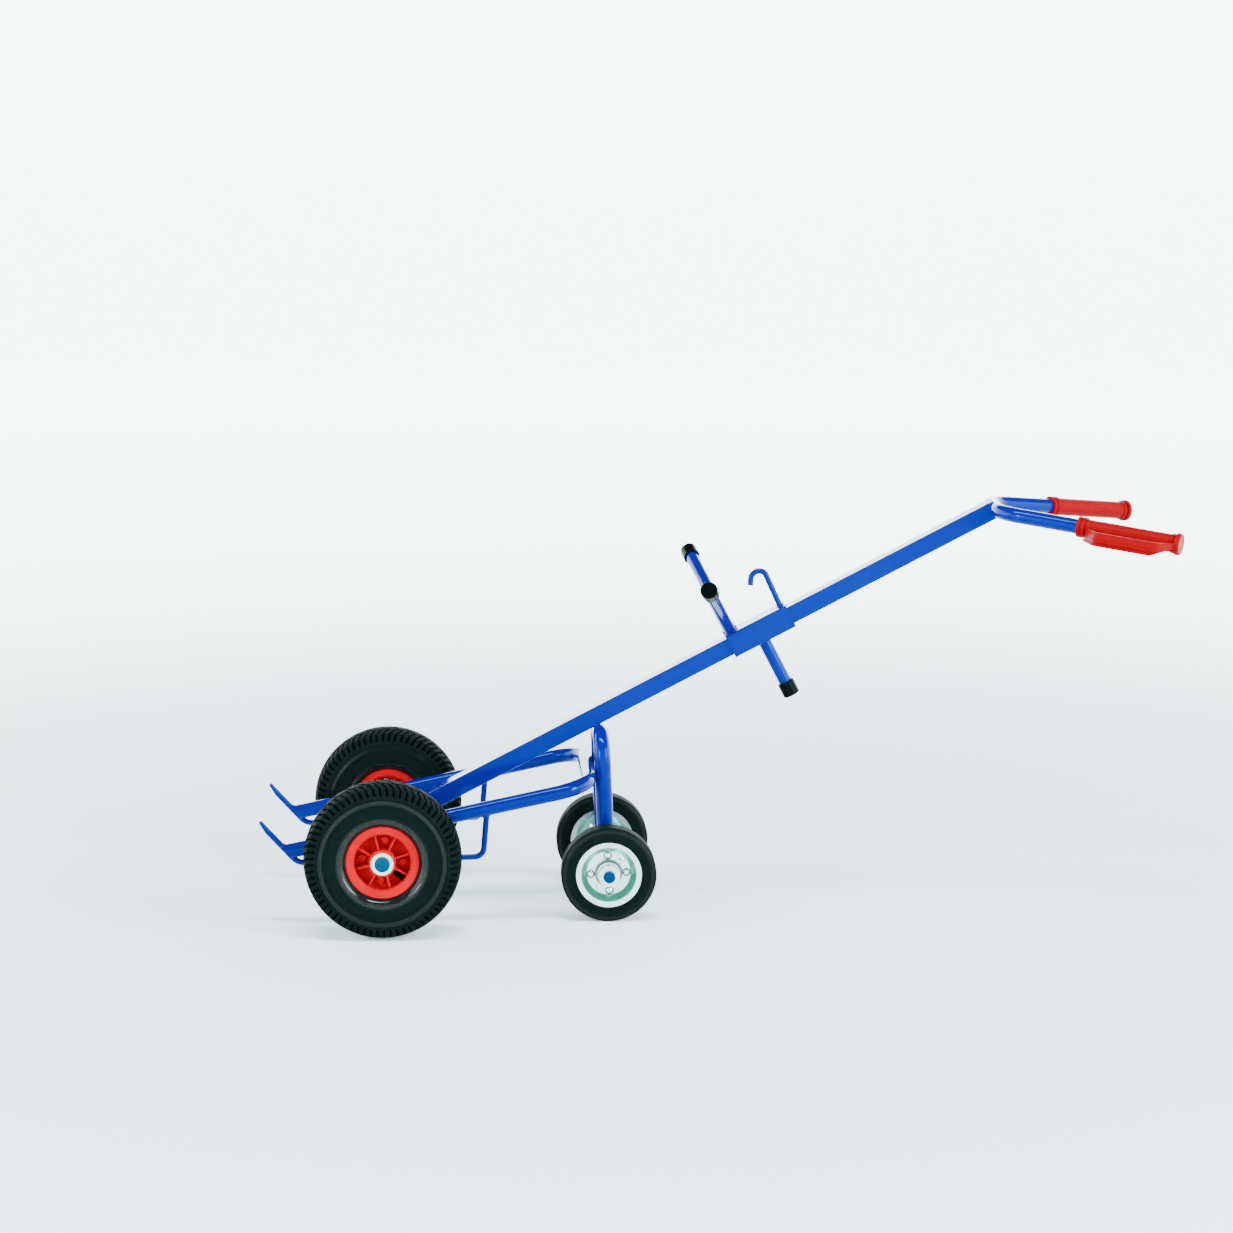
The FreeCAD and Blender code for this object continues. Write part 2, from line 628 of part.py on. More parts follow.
def leg_frame():
    """Direction of the legs and the height along them where their cross part meets the spine."""
    lean = math.radians(LEG_LEAN)
    up = V(-math.sin(lean), 0, math.cos(lean))
    normal = SPINE_PLACE.Rotation.multVec(Z_AXIS)
    gap = SPINE_HEIGHT / 2 + LEG_DIAMETER / 2 - WELD_BITE
    height = ((SPINE_PLACE.Base - SUPPORT_AXLE).dot(normal) - gap) / up.dot(normal)
    return up, height


def leg_bow(spine_solid, support_bar):
    """Inverted U under the spine, its feet coped onto the support axle tube."""
    up, height = leg_frame()
    top = SUPPORT_AXLE + up * height
    points = [SUPPORT_AXLE - V(0, LEG_OFFSET, 0), top - V(0, LEG_OFFSET, 0),
              top + V(0, LEG_OFFSET, 0), SUPPORT_AXLE + V(0, LEG_OFFSET, 0)]
    bar, bore = bent_tube(points, LEG_BEND, FreeCAD.Placement(), LEG_DIAMETER)
    return bar.cut([spine_solid, support_bar]), bore


def strut_place():
    """Plane of the strut bow, resting on top of the axle tube."""
    rise = (AXLE_TUBE_DIAMETER + TUBE_DIAMETER) / 2 - WELD_BITE
    level = tilted(MAIN_AXLE, STRUT_SLOPE)
    return tilted(level.multVec(V(0, 0, rise)), STRUT_SLOPE)


def strut_bow(axle_bar, leg_bar, prong_cutter):
    """U-shaped strut from the toe rods back to the legs."""
    place = strut_place()
    up = leg_frame()[0]
    across = V(up.z, 0, -up.x)
    along = place.Rotation.multVec(X_AXIS)
    clear = (TUBE_DIAMETER + LEG_DIAMETER) / 2 - WELD_BITE
    reach = ((SUPPORT_AXLE - place.Base).dot(across) - clear) / along.dot(across)
    points = [V(-STRUT_FRONT, -STRUT_OFFSET, 0), V(reach, -STRUT_OFFSET, 0),
              V(reach, STRUT_OFFSET, 0), V(-STRUT_FRONT, STRUT_OFFSET, 0)]
    bar, bore = bent_tube(points, STRUT_BEND, place)
    return largest(bar.cut([axle_bar, leg_bar, prong_cutter])), bore


def toe_place():
    """Frame of a toe rod, running just under the axle tube."""
    drop = (AXLE_TUBE_DIAMETER + TOE_DIAMETER) / 2 - WELD_BITE
    level = tilted(MAIN_AXLE, TOE_SLOPE)
    return tilted(level.multVec(V(0, 0, -drop)), TOE_SLOPE)


def prong_frame():
    """Frame at the heel corner whose X axis points up the prong and whose Z axis points away from the load."""
    turn = FreeCAD.Rotation(Y_AXIS, 180.0 + TOE_ANGLE)
    return toe_place().multiply(FreeCAD.Placement(V(-TOE_HEEL, 0, 0), turn))


def prong_cutter():
    """Space in front of the strut ends: the two prongs and everything beyond their middle plane."""
    span = 2 * STRUT_OFFSET + 2 * TUBE_DIAMETER
    front = Part.makeBox(2 * PRONG_LENGTH, span, TUBE_DIAMETER * 2,
                         V(-PRONG_LENGTH, -span / 2, 0))
    bars = [straight_rod(V(-PRONG_LENGTH, side * STRUT_OFFSET, 0), V(PRONG_LENGTH, side * STRUT_OFFSET, 0),
                         TOE_DIAMETER) for side in SIDES.values()]
    return moved(front.fuse(bars), prong_frame())


def toe_rod(axle_bar):
    """Bent bar on the right: prong, heel, run under the axle and riser coped to the strut."""
    riser = math.radians(RISER_ANGLE)
    reach = RISER_SETBACK
    top = 2 * AXLE_TUBE_DIAMETER + TUBE_DIAMETER
    prong = prong_frame().multVec(V(PRONG_LENGTH, 0, 0))
    points = [toe_place().inverse().multVec(prong), V(-TOE_HEEL, 0, 0), V(reach, 0, 0),
              V(reach + top * math.cos(riser), 0, top * math.sin(riser))]
    bar = moved(rod(points, [TOE_HEEL_BEND, RISER_BEND], TOE_DIAMETER), toe_place())
    bar.translate(V(0, STRUT_OFFSET, 0))
    thin = PRONG_TIP - TOE_DIAMETER / 2
    thick = TOE_DIAMETER / 2
    wedge = polygon([V(PRONG_LENGTH, 0, thin), V(PRONG_LENGTH - PRONG_TAPER, 0, thick),
                     V(PRONG_LENGTH, 0, thick * 2)])
    wedge.translate(V(0, STRUT_OFFSET - TOE_DIAMETER, 0))
    cutter = moved(wedge.extrude(V(0, 2 * TOE_DIAMETER, 0)), prong_frame())
    strut_line = [strut_place().multVec(V(along, STRUT_OFFSET, 0)) for along in (0, 2 * RISER_SETBACK)]
    return largest(bar.cut([axle_bar, straight_rod(*strut_line, TUBE_DIAMETER), cutter]))


def grip_sleeve():
    """Turned part of the grip along X, its closed end just past the end of the tube."""
    inner_end = GRIP_END - GRIP_LENGTH
    collar = GRIP_COLLAR_DIAMETER / 2
    sleeve = GRIP_DIAMETER / 2
    flange = GRIP_FLANGE_DIAMETER / 2
    bead = GRIP_BEAD_DIAMETER / 2
    groove_start = inner_end + (GRIP_COLLAR_LENGTH - GRIP_COLLAR_GROOVE) / 2
    collar_end = inner_end + GRIP_COLLAR_LENGTH
    flange_start = GRIP_END - GRIP_FLANGE_LENGTH
    bead_start = flange_start - 2 * GRIP_BEAD_LENGTH
    bore = TUBE_DIAMETER / 2
    outline = [(inner_end, bore), (inner_end, collar), (groove_start, collar), (groove_start, bead),
               (groove_start + GRIP_COLLAR_GROOVE, bead), (groove_start + GRIP_COLLAR_GROOVE, collar),
               (collar_end, collar), (collar_end, sleeve), (bead_start, sleeve), (bead_start, bead),
               (bead_start + GRIP_BEAD_LENGTH, bead), (bead_start + GRIP_BEAD_LENGTH, sleeve),
               (flange_start, sleeve), (flange_start, flange), (GRIP_END - GUARD_LIP, flange),
               (GRIP_END, flange - GUARD_LIP), (GRIP_END, 0), (0, 0), (0, bore)]
    return polygon([V(along, 0, radius) for along, radius in outline]).revolve(ORIGIN, X_AXIS, 360)


def grip_guard():
    """Knuckle guard: a lipped strip that stands outside the fingers and meets the sleeve at both ends."""
    inner_end = GRIP_END - GRIP_LENGTH
    root = (TUBE_DIAMETER + GRIP_DIAMETER) / 4
    points = [V(inner_end + GUARD_ROOT, root, 0), V(inner_end + GUARD_RUN_START, GUARD_REACH, 0),
              V(inner_end + GUARD_RUN_END, GUARD_REACH, 0), V(GRIP_END - GRIP_FLANGE_LENGTH, root, 0)]
    half = GUARD_THICKNESS / 2
    lip_top = GUARD_LIP_HEIGHT - GUARD_DEPTH
    ridge_foot = lip_top + GUARD_LIP_HEIGHT
    ridge_top = ridge_foot + GUARD_LIP_HEIGHT
    outline = [(-half, GUARD_TOP), (-half, -GUARD_DEPTH), (half + GUARD_LIP, -GUARD_DEPTH),
               (half + GUARD_LIP, lip_top), (half, lip_top), (half, ridge_foot),
               (half + GUARD_RIDGE, ridge_foot), (half + GUARD_RIDGE, ridge_top), (half, ridge_top),
               (half, GUARD_TOP)]
    run = (points[1] - points[0]).normalize()
    outward = V(-run.y, run.x, 0)
    section = Part.makePolygon([points[0] + outward * side + V(0, 0, level)
                                for side, level in outline + outline[:1]])
    strip = rounded_path(points, [GUARD_BEND] * 2).makePipeShell([section], True, False)
    below = 2 * GUARD_DEPTH
    taper = polygon([V(GRIP_END - GUARD_TAPER, 0, -GUARD_DEPTH), V(GRIP_END, 0, -GUARD_END_DEPTH),
                     V(GRIP_END, 0, -below), V(GRIP_END - GUARD_TAPER, 0, -below)])
    return strip.cut(taper.extrude(V(0, 2 * GUARD_REACH, 0)))


def grip(side):
    """Moulded safety grip on one end of the handle bow."""
    bore = Part.makeCylinder(TUBE_DIAMETER / 2, GRIP_LENGTH, V(-GRIP_LENGTH, 0, 0), X_AXIS)
    body = grip_sleeve().fuse(grip_guard()).removeSplitter().cut(bore)
    at_end = FreeCAD.Placement(handle_points()[-1], FreeCAD.Rotation(Z_AXIS, HANDLE_SPLAY))
    return mirrored(moved(body, HANDLE_PLACE.multiply(at_end)), side)


SLEEVE_FRONT = SLEEVE_REACH - SLEEVE_LENGTH / 2
SLEEVE_BACK = SLEEVE_REACH + SLEEVE_LENGTH / 2
SLEEVE_TOP = SPINE_HEIGHT / 2 + SLEEVE_CLEARANCE + SLEEVE_WALL


def sleeve_bar():
    """Outside of the sliding sleeve as a solid bar, in the frame of the spine."""
    margin = 2 * (SLEEVE_CLEARANCE + SLEEVE_WALL)
    return box_bar(SPINE_WIDTH + margin, SPINE_HEIGHT + margin, SLEEVE_FRONT, SLEEVE_BACK, SLEEVE_CORNER)


def sleeve():
    """Sliding sleeve that rides on the spine."""
    play = 2 * SLEEVE_CLEARANCE
    hole = box_bar(SPINE_WIDTH + play, SPINE_HEIGHT + play, SLEEVE_FRONT, SLEEVE_BACK, SPINE_CORNER)
    return sleeve_bar().cut(hole)


def end_cap(tip, inward):
    """Slip-on cap that covers the end of an arm or of the lever."""
    outer = straight_rod(tip - inward * END_CAP_FLOOR, tip + inward * (END_CAP_LENGTH - END_CAP_FLOOR),
                         ARM_DIAMETER + 2 * CAP_WALL)
    rims = [edge for edge in outer.Edges if edge.Closed]
    return outer.makeFillet(CAP_ROUNDING, rims).cut(straight_rod(tip, tip + inward * END_CAP_LENGTH, ARM_DIAMETER))


def hollow_bar(start, end):
    """Round tube for the arms and the lever."""
    return straight_rod(start, end, ARM_DIAMETER).cut(straight_rod(start, end, ARM_DIAMETER - 2 * ARM_WALL))


def arm_line():
    """Root, tip and outward direction of the right-hand cradle arm."""
    rise = math.radians(ARM_RISE)
    outward = V(0, math.cos(rise), math.sin(rise))
    root = V(SLEEVE_FRONT + ARM_SETBACK, 0, SLEEVE_TOP + ARM_ROOT_LIFT)
    return root, root + outward * (ARM_HALF_SPAN / math.cos(rise)), outward


def cradle_arm():
    """Right-hand arm of the V cradle, mitred at the middle and coped to the sleeve."""
    root, tip, outward = arm_line()
    tube = hollow_bar(root - outward * ARM_DIAMETER, tip)
    other_side = Part.makeBox(ARM_DIAMETER * 2, ARM_DIAMETER * 4, ARM_DIAMETER * 4,
                              root - V(ARM_DIAMETER, ARM_DIAMETER * 4, ARM_DIAMETER * 2))
    return largest(tube.cut([sleeve_bar(), other_side]))


def arm_cap():
    """Cap on the tip of the right-hand arm."""
    tip, outward = arm_line()[1:]
    return end_cap(tip, outward * -1)


def lever_tip():
    """End of the lever tube under the sleeve."""
    return V(SLEEVE_FRONT + LEVER_SETBACK, 0, -SLEEVE_TOP - LEVER_LENGTH)


def lever():
    """Lever tube that moves and releases the sleeve."""
    return hollow_bar(lever_tip() + V(0, 0, LEVER_LENGTH), lever_tip())


def hook():
    """Hook rod that reaches over the rim of the load."""
    lean = math.radians(HOOK_LEAN)
    drop = math.radians(HOOK_DROP_ANGLE)
    tip = math.radians(HOOK_TIP_ANGLE)
    foot = V(SLEEVE_FRONT + HOOK_SETBACK, 0, SLEEVE_TOP)
    up = V(math.sin(lean), 0, math.cos(lean))
    ahead = V(-math.cos(drop), 0, -math.sin(drop))
    down = V(-math.cos(tip), 0, -math.sin(tip))
    top = foot + up * HOOK_HEIGHT
    nose = top + ahead * HOOK_REACH
    points = [foot - up * SLEEVE_WALL, top, nose, nose + down * HOOK_TIP]
    return rod(points, [HOOK_BEND, HOOK_BEND], HOOK_DIAMETER).cut(sleeve_bar())


def frame_pieces():
    """Welded frame, axles and their fittings."""
    main_axle, main_washers, main_caps, main_half = axle_fittings(
        MAIN_AXLE, MAIN_WHEEL_OFFSET, MAIN_HUB_LENGTH, MAIN_AXLE_DIAMETER, MAIN_WASHER_DIAMETER,
        MAIN_WASHER_THICKNESS, MAIN_CAP_DIAMETER, MAIN_CAP_LENGTH)
    support_axle, support_washers, support_caps, support_half = axle_fittings(
        SUPPORT_AXLE, SUPPORT_WHEEL_OFFSET, SUPPORT_HUB_LENGTH, SUPPORT_AXLE_DIAMETER, SUPPORT_WASHER_DIAMETER,
        SUPPORT_WASHER_THICKNESS, SUPPORT_CAP_DIAMETER, SUPPORT_CAP_LENGTH)
    axle_tube, axle_bar = axle_sleeve(MAIN_AXLE, main_half, MAIN_AXLE_DIAMETER)
    support_tube, support_bar = axle_sleeve(SUPPORT_AXLE, support_half, SUPPORT_AXLE_DIAMETER)
    handle_bar, handle_bore = bent_tube(handle_points(), HANDLE_BEND, HANDLE_PLACE)
    leg_bar, leg_bore = leg_bow(moved(spine_bar(0), SPINE_PLACE), support_bar)
    strut_bar, strut_bore = strut_bow(axle_bar, leg_bar, prong_cutter())
    toe = toe_rod(axle_bar)
    pieces = {
        "spine_tube": spine(axle_bar, handle_bar),
        "axle_tube": axle_tube,
        "support_axle_tube": support_tube,
        "strut_bow": strut_bar.cut(strut_bore),
        "leg_bow": leg_bar.cut(leg_bore),
        "handle_bow": handle_bar.cut(handle_bore),
        "main_axle": main_axle,
        "support_axle": support_axle,
        "main_axle_washers": main_washers,
        "main_axle_caps": main_caps,
        "support_axle_washers": support_washers,
        "support_axle_caps": support_caps,
    }
    for name, side in SIDES.items():
        pieces["toe_rod_" + name] = mirrored(toe, side)
        pieces["grip_" + name] = grip(side)
    return pieces


def carriage_pieces():
    """Hook carriage in the place where it holds the load."""
    pieces = {"hook_sleeve": sleeve(), "hook_rod": hook(), "slide_lever": lever(),
              "lever_cap": end_cap(lever_tip(), Z_AXIS)}
    for name, side in SIDES.items():
        pieces["cradle_arm_" + name] = mirrored(cradle_arm(), side)
        pieces["arm_cap_" + name] = mirrored(arm_cap(), side)
    return {name: moved(shape, SPINE_PLACE) for name, shape in pieces.items()}


def wheel_pieces():
    """Both main wheels and both support wheels."""
    main = {"tyre": [main_tyre()], "inner_tube": [inner_tube()], "valve": [valve()], "rim_outer": [rim_outer()],
            "rim_inner": [rim_inner()], "rim_screws": rim_screws(),
            "bearing_cage": [bearing_cage(MAIN_AXLE_DIAMETER)],
            "bearing_rollers": rollers(MAIN_AXLE_DIAMETER, ROLLER_CLEARANCE)}
    hub = SUPPORT_HUB_LENGTH / 2
    support = {"tyre": [support_tyre()], "disc_outer": [support_disc()],
               "disc_inner": [support_disc().mirror(ORIGIN, Y_AXIS)], "rivets": rivets(),
               "hub": [ring(SUPPORT_HUB_DIAMETER / 2, SUPPORT_HUB_BORE / 2, -hub, hub)],
               "bearing_cage": [bearing_cage(SUPPORT_AXLE_DIAMETER)],
               "bearing_rollers": rollers(SUPPORT_AXLE_DIAMETER, ROLLER_CLEARANCE)}
    pieces = {}
    for name, side in SIDES.items():
        for piece, shapes in main.items():
            pieces["main_%s_%s" % (piece, name)] = on_wheel(shapes, MAIN_AXLE, MAIN_WHEEL_OFFSET, side)
        for piece, shapes in support.items():
            pieces["support_%s_%s" % (piece, name)] = on_wheel(shapes, SUPPORT_AXLE, SUPPORT_WHEEL_OFFSET, side)
    return pieces


def middle_shift(pieces):
    """Move that puts the origin on the floor under the middle of the trolley's length."""
    box = FreeCAD.BoundBox()
    for name in ("toe_rod_right", "grip_right"):
        box.add(pieces[name].optimalBoundingBox())
    return V(-box.Center.x, 0, 0)


def main():
    """Build every piece and write one file for each."""
    pieces = {**frame_pieces(), **carriage_pieces(), **wheel_pieces()}
    shift = middle_shift(pieces)
    os.makedirs("parts", exist_ok=True)
    for name, shape in pieces.items():
        shape.translate(shift)
        shape.exportStep("parts/%s.step" % name)
    print("pieces", len(pieces), "main axle at X", round(shift.x, 4))


main()
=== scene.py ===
import math

import bmesh
import bpy
from bpy.props import FloatProperty, FloatVectorProperty, IntProperty, PointerProperty
from mathutils import Matrix, Vector
from mathutils.bvhtree import BVHTree


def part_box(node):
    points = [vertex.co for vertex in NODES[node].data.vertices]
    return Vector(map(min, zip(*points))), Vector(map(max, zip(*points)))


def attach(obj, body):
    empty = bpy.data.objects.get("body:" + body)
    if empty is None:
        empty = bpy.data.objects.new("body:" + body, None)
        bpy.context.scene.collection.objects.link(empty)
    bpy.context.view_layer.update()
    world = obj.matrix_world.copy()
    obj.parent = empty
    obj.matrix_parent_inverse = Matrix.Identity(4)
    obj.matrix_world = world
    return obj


bl_info = {
    "name": "Drum Trolley",
    "version": (1, 1, 0),
    "blender": (4, 5, 0),
    "location": "View3D > Sidebar > Trolley",
    "description": "Finishes, weld seams, moulded details and studio for a drum trolley",
    "category": "Object",
}

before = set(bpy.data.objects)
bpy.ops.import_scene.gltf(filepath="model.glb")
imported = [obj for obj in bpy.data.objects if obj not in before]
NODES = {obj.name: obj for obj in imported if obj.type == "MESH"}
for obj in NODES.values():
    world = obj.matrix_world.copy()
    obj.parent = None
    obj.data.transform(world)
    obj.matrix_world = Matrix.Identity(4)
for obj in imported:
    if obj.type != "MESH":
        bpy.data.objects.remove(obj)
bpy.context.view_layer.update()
SIDES = ("left", "right")
MM = 0.001

# Sockets of a Mix node that mixes colours.
MIX_FACTOR, MIX_FIRST, MIX_SECOND, MIX_RESULT = 0, 6, 7, 2

# Width of a moulded tyre ring, and its section as shares of that width and of its height.
RING_WIDTH = 1.2 * MM
RING_SECTION = ((-0.5, -0.5), (-0.32, 0.7), (0.0, 1.0), (0.32, 0.7), (0.5, -0.5))

# Place and size of each soft light in metres, under the name of the setting for its power.
SOFTBOXES = {
    "overhead": ((-0.3, -1.0, 3.6), (2.8, 0.6)),
    "key": ((3.4, -2.9, 1.8), (1.2, 2.8)),
    "fill": ((-3.4, -3.3, 1.5), (0.5, 1.8)),
}
LIGHT_AIM = (0.0, 0.0, 0.3)


class Value:
    """A socket that takes part in Python expressions; each operator adds one Math node."""

    def __init__(self, finish, socket):
        self.finish = finish
        self.socket = socket

    def math(self, operation, first, second):
        """Result of a Math node."""
        inputs = {0: first, 1: second}
        return self.finish.node("ShaderNodeMath", {"operation": operation}, inputs)

    def __add__(self, other):
        return self.math("ADD", self, other)

    def __radd__(self, other):
        return self.math("ADD", other, self)

    def __sub__(self, other):
        return self.math("SUBTRACT", self, other)

    def __rsub__(self, other):
        return self.math("SUBTRACT", other, self)

    def __mul__(self, other):
        return self.math("MULTIPLY", self, other)

    def __rmul__(self, other):
        return self.math("MULTIPLY", other, self)


def opaque(color, share=1.0):
    """Colour with full alpha, dimmed to a share of itself."""
    return (*(channel * share for channel in color), 1.0)


class Finish:
    """A procedural material, built on the Principled shader."""

    def __init__(self, name, color, roughness, **uniform):
        self.material = bpy.data.materials.new(name)
        self.material.use_nodes = True
        self.material.diffuse_color = opaque(color)
        self.tree = self.material.node_tree
        self.shader = self.tree.nodes["Principled BSDF"]
        self.feed("Base Color", opaque(color))
        self.feed("Roughness", roughness)
        for socket, value in uniform.items():
            self.feed(socket.replace("_", " ").title().replace("Ior", "IOR"), value)

    def plug(self, socket, value):
        """Link a value to a socket, or set a plain number or colour on it."""
        if isinstance(value, Value):
            self.tree.links.new(value.socket, socket)
        else:
            socket.default_value = value

    def feed(self, name, value):
        """Give one of the shader's sockets its value."""
        self.plug(self.shader.inputs[name], value)

    def node(self, kind, settings=None, inputs=None, output=0):
        """Add a node, set it up, feed its sockets and give back one of its outputs."""
        made = self.tree.nodes.new(kind)
        for name, setting in (settings or {}).items():
            setattr(made, name, setting)
        for key, value in (inputs or {}).items():
            self.plug(made.inputs[key], value)
        return Value(self, made.outputs[output])

    def place(self):
        """Position on the piece, in metres."""
        return self.node("ShaderNodeTexCoord", output="Object")

    def vector(self, operation, first, second=(0.0, 0.0, 0.0), output="Vector"):
        """Result of a Vector Math node."""
        inputs = {0: first, 1: second}
        return self.node("ShaderNodeVectorMath", {"operation": operation}, inputs, output)

    def noise(self, grain, detail=3.0):
        """Cloudy value whose features are about one grain across."""
        inputs = {"Vector": self.place(), "Scale": 1.0 / grain, "Detail": detail}
        return self.node("ShaderNodeTexNoise", None, inputs)

    def cells(self, grain):
        """A random grey for each crystal about one grain across."""
        inputs = {"Vector": self.place(), "Scale": 1.0 / grain}
        cell = self.node("ShaderNodeTexVoronoi", None, inputs, "Color")
        return self.node("ShaderNodeSeparateColor", None, {"Color": cell})

    def axle_distance(self, centre):
        """Distance from the line of an axle through the centre."""
        offset = self.vector("SUBTRACT", self.place(), centre)
        across = self.vector("MULTIPLY", offset, (1.0, 0.0, 1.0))
        return self.vector("LENGTH", across, output="Value")

    def ramp(self, value, low, high):
        """Value stretched so that low becomes nothing and high becomes one."""
        inputs = {"Value": value, "From Min": low, "From Max": high}
        return self.node("ShaderNodeMapRange", {"interpolation_type": "SMOOTHSTEP"}, inputs)

    def blend(self, factor, first, second):
        """Colour between two colours."""
        inputs = {MIX_FACTOR: factor, MIX_FIRST: first, MIX_SECOND: second}
        return self.node("ShaderNodeMix", {"data_type": "RGBA"}, inputs, MIX_RESULT)

    def mottle(self, factor, color, share):
        """Colour that is dimmed to a share of itself where the factor is nothing."""
        return self.blend(factor, opaque(color, share), opaque(color))

    def uneven(self, level, spread, grain):
        """Value that wanders about a level in patches about one grain across."""
        return level + spread * self.noise(grain) - spread / 2

    def bump(self, grain, depth):
        """Fine grained relief of the given depth in metres."""
        inputs = {"Height": self.noise(grain, detail=2.0), "Distance": depth}
        self.feed("Normal", self.node("ShaderNodeBump", None, inputs))


def color_setting(name, description, default):
    """Setting for a colour."""
    return FloatVectorProperty(name=name, description=description, subtype="COLOR",
                               default=default, min=0.0, max=1.0)


def share_setting(name, description, default, highest=1.0):
    """Setting for a share of something."""
    return FloatProperty(name=name, description=description, subtype="FACTOR",
                         default=default, min=0.0, max=highest)


def length_setting(name, description, default, lowest=0.0):
    """Setting for a small length in metres."""
    return FloatProperty(name=name, description=description, subtype="DISTANCE", unit="LENGTH",
                         default=default, min=lowest, precision=6)


def angle_setting(name, description, degrees):
    """Setting for an angle."""
    return FloatProperty(name=name, description=description, subtype="ANGLE",
                         default=math.radians(degrees))


def strength_setting(name, description, default):
    """Setting for the strength of a light."""
    return FloatProperty(name=name, description=description, default=default, min=0.0)


class EnamelSettings(bpy.types.PropertyGroup):
    """Painted steel of the frame and the hook carriage."""
    color: color_setting("Enamel", "Colour of the paint", (0.0, 0.001, 0.135))
    roughness: share_setting("Roughness", "Roughness of the paint", 0.1)
    sheen: color_setting("Sheen", "Tint of the reflections in the paint", (0.1, 0.42, 1.0))
    peel: length_setting("Orange peel", "Depth of the ripple in the paint", 0.00004)


class PlasticSettings(bpy.types.PropertyGroup):
    """Moulded grips, rims, end caps and bearing cages."""
    grip: color_setting("Grips", "Colour of the handle grips", (0.18, 0.0, 0.0025))
    rim: color_setting("Rims", "Colour of the main wheels' rims", (0.45, 0.0, 0.006))
    sheen: color_setting("Red sheen", "Tint of the reflections in the red plastic",
                         (1.0, 0.12, 0.16))
    cap: color_setting("End caps", "Colour of the caps on arms and lever", (0.001, 0.0022, 0.002))
    cage: color_setting("Bearing cages", "Colour of the cages round the rollers",
                        (0.62, 0.6, 0.52))


class RubberSettings(bpy.types.PropertyGroup):
    """Tyres of both kinds of wheel."""
    tyre: color_setting("Tyres", "Colour of the rubber", (0.0025, 0.006, 0.0054))
    roughness: share_setting("Roughness", "Roughness of the sidewalls", 0.22)
    ring: length_setting("Ring height", "Height of the fine rings on the sidewalls", 0.0005)


class MetalSettings(bpy.types.PropertyGroup):
    """Plated and bare steel, and the lacquered axle caps."""
    zinc: color_setting("Zinc", "Colour of the plated discs and washers", (0.72, 0.86, 0.83))
    # Painted shade: the next colour is painted on the disc's sloped ring in place of the shade and
    # dark reflections there.
    slope_shade: color_setting("Drawn zinc", "Colour of the plating where the disc is drawn",
                         (0.12, 0.46, 0.36))
    # Painted shade: the next colour is painted in rings round the rivet heads and the collar foot
    # in place of the shade in those crevices.
    crevice_shade: color_setting("Grime", "Colour of the dirt round the rivets", (0.03, 0.07, 0.06))
    steel: color_setting("Axles", "Colour of the bare axles and rollers", (0.5, 0.5, 0.52))
    main_cap: color_setting("Main axle caps", "Colour of the caps on the main axle",
                            (0.001, 0.048, 0.1))
    support_cap: color_setting("Support axle caps", "Colour of the caps on the support axle",
                               (0.0, 0.026, 0.09))


class WeldSettings(bpy.types.PropertyGroup):
    """Weld seams round the joints of the frame and the hook carriage."""
    bead: length_setting("Bead radius", "Half the width of a seam", 0.0024, 0.0005)
    pitch: length_setting("Ripple pitch", "Spacing of the ripples along a seam", 0.0034, 0.001)
    ripple: share_setting("Ripple", "Swelling of a ripple against the bead", 0.14, 0.5)
    sides: IntProperty(name="Sides", description="Facets round a seam", default=8, min=4, max=24)


class StudioSettings(bpy.types.PropertyGroup):
    """Floor, lights and camera."""
    floor: color_setting("Floor", "Colour of floor and backdrop", (0.72, 0.84, 0.85))
    camera: FloatVectorProperty(name="Camera", description="Place of the camera", unit="LENGTH",
                                subtype="TRANSLATION", default=(-0.4299, -5.4516, 1.3688))
    yaw: angle_setting("Yaw", "Turn of the view towards the handles", 2.82)
    pitch: angle_setting("Pitch", "Tilt of the view above the horizon", -9.096)
    roll: angle_setting("Roll", "Lean of the view about its own line", 0.307)
    lens: FloatProperty(name="Lens", description="Focal length in millimetres", default=94.96,
                        min=10.0)
    glow: strength_setting("Glow", "Light given off by the wall of the backdrop", 5.0)
    near: share_setting("Floor glow", "Share of the glow on the floor round the trolley", 0.03)
    front: share_setting("Front glow", "Share of the glow on the camera's side", 0.22)
    sky: strength_setting("Sky", "Strength of the even light all round", 0.2)
    overhead: strength_setting("Overhead", "Power of the light above in watts", 230.0)
    key: strength_setting("Key", "Power of the light on the camera's right in watts", 300.0)
    fill: strength_setting("Fill", "Power of the light on the camera's left in watts", 130.0)


def dress(finish, *names):
    """Give CAD nodes their material."""
    for name in names:
        NODES[name].data.materials.clear()
        NODES[name].data.materials.append(finish.material)


def sided(*stems):
    """Node names of both sides."""
    return [stem + "_" + side for stem in stems for side in SIDES]


def middle(node):
    """Centre of a node's box."""
    low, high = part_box(node)
    return (Vector(low) + Vector(high)) / 2


def mesh_object(name, vertices, faces, finish):
    """New smooth mesh in the scene."""
    mesh = bpy.data.meshes.new(name)
    mesh.from_pydata(vertices, [], faces)
    mesh.materials.append(finish.material)
    mesh.shade_smooth()
    piece = bpy.data.objects.new(name, mesh)
    bpy.context.scene.collection.objects.link(piece)
    return piece


def mesh_piece(name, vertices, faces, finish, body):
    """New smooth mesh that rides on a body, its faces turned outward."""
    piece = mesh_object(name, vertices, faces, finish)
    shape = bmesh.new()
    shape.from_mesh(piece.data)
    bmesh.ops.recalc_face_normals(shape, faces=shape.faces)
    shape.to_mesh(piece.data)
    shape.free()
    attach(piece, body)


def loop_faces(rows, corners, first, closed):
    """Faces of a tube of vertex rows, joined end to end or capped at both ends."""
    faces = []
    for row in range(rows if closed else rows - 1):
        here = first + row * corners
        ahead = first + (row + 1) % rows * corners
        for corner in range(corners):
            beside = (corner + 1) % corners
            faces.append((here + corner, here + beside, ahead + beside, ahead + corner))
    if not closed:
        faces.append(tuple(first + corner for corner in reversed(range(corners))))
        faces.append(tuple(first + (rows - 1) * corners + corner for corner in range(corners)))
    return faces


